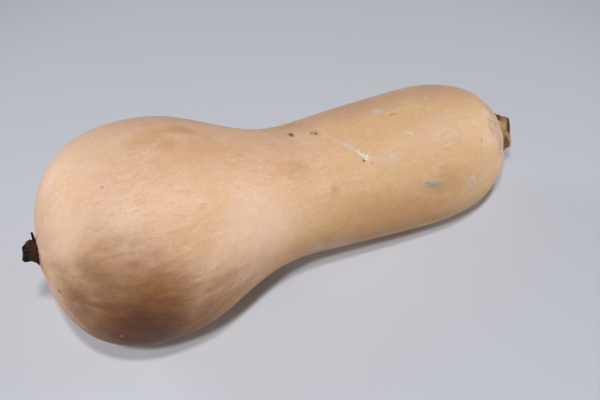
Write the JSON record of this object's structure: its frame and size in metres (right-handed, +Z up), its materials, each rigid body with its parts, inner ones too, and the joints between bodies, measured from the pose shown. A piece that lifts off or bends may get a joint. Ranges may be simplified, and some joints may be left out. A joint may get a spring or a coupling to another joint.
{
  "type": "butternut squash",
  "caption": "Whole butternut squash lying on its side: a fat round bulb that narrows to a long neck, with a woody stem stub at one end and a dried blossom at the other.",
  "frame": {"origin": "on the resting surface, under the middle of the whole squash", "axes": "+X from the blossom end to the stem end, +Z up, +Y across the squash"},
  "size_m": [0.275, 0.1106, 0.109],
  "materials": {
    "rind": "waxy tan rind with a soft sheen, fine lengthwise streaks, brown blotches and dry cork scars",
    "dry_stem": "dry, ridged and corky, olive brown with dark grooves",
    "dry_blossom": "shrivelled, nearly black brown, papery and slightly glossy on its folds"
  },
  "bodies": {
    "root": {"squash_body": "rind", "stem_stub": "dry_stem", "dried_blossom": "dry_blossom"}
  },
  "joints": []
}
